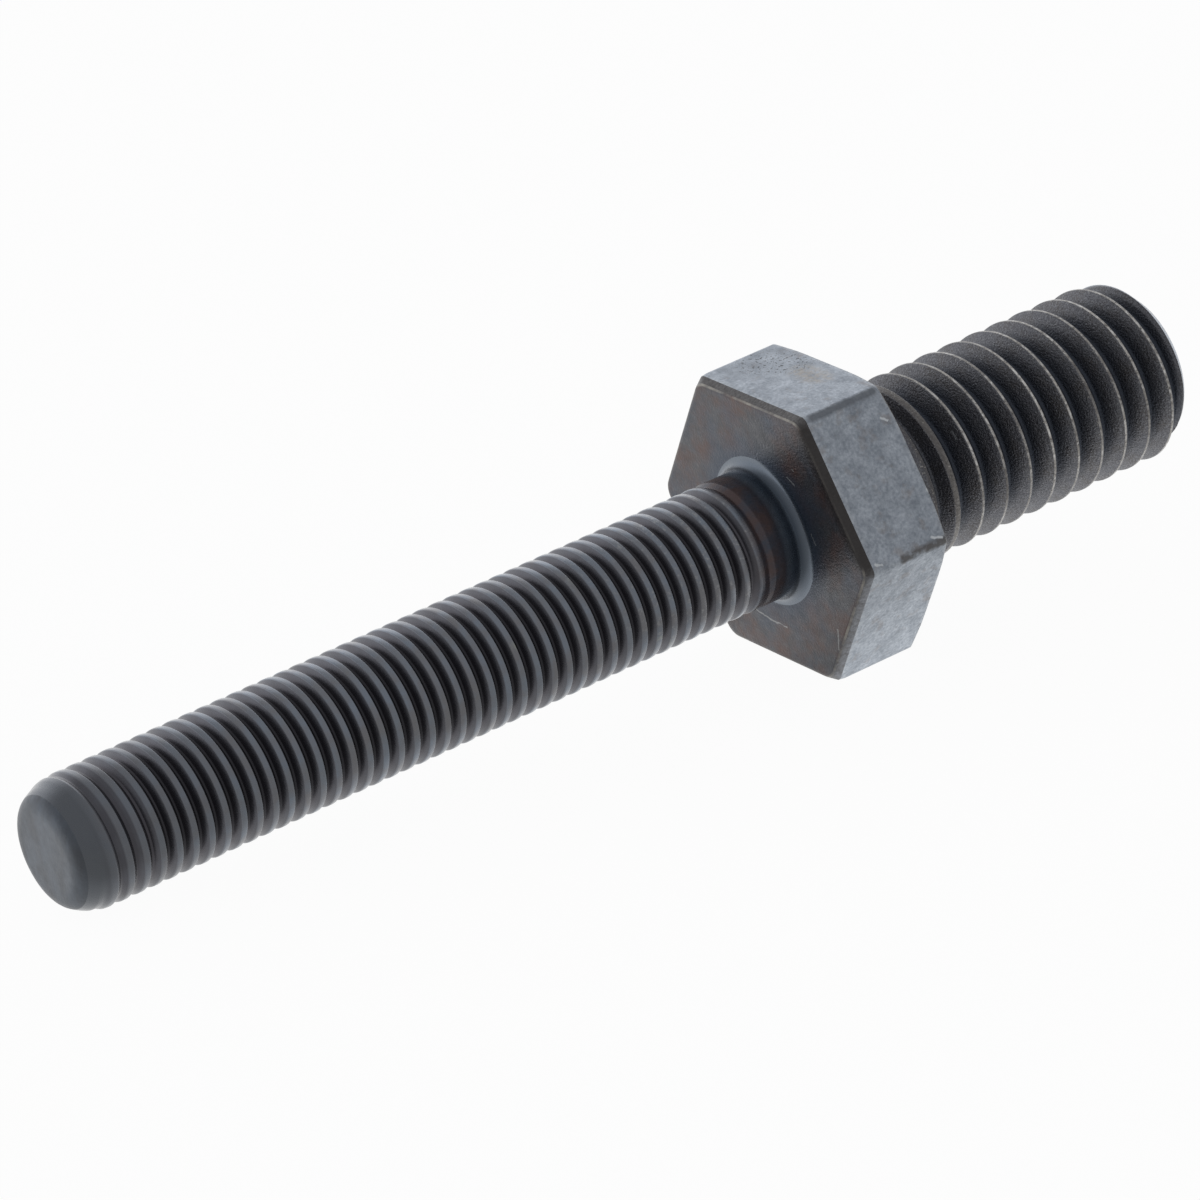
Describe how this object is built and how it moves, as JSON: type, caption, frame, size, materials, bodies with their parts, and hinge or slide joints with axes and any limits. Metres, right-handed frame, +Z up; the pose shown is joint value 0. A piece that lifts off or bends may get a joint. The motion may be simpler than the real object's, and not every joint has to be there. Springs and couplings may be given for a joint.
{
  "type": "rocker stud",
  "caption": "Steel stud with a long fine-threaded end for a rocker arm's nut, a hexagon with a flat seat, and a short coarse-threaded end that screws into the cylinder head.",
  "frame": {"origin": "centre of the bounding box, on the floor that the stud lies on", "axes": "+X along the lying stud towards its coarse-threaded end, +Y across it, +Z up. The stud's own axis rises 5.3 degrees towards +X, because it rests on the rim of its fine-threaded end and on the hexagon."},
  "size_m": [0.0781, 0.0192, 0.0172],
  "materials": {
    "black_oxide_steel": "black oxide on machined steel, worn bright along the crests of the threads"
  },
  "bodies": {
    "root": {"rocker_stud": "black_oxide_steel"}
  },
  "joints": []
}
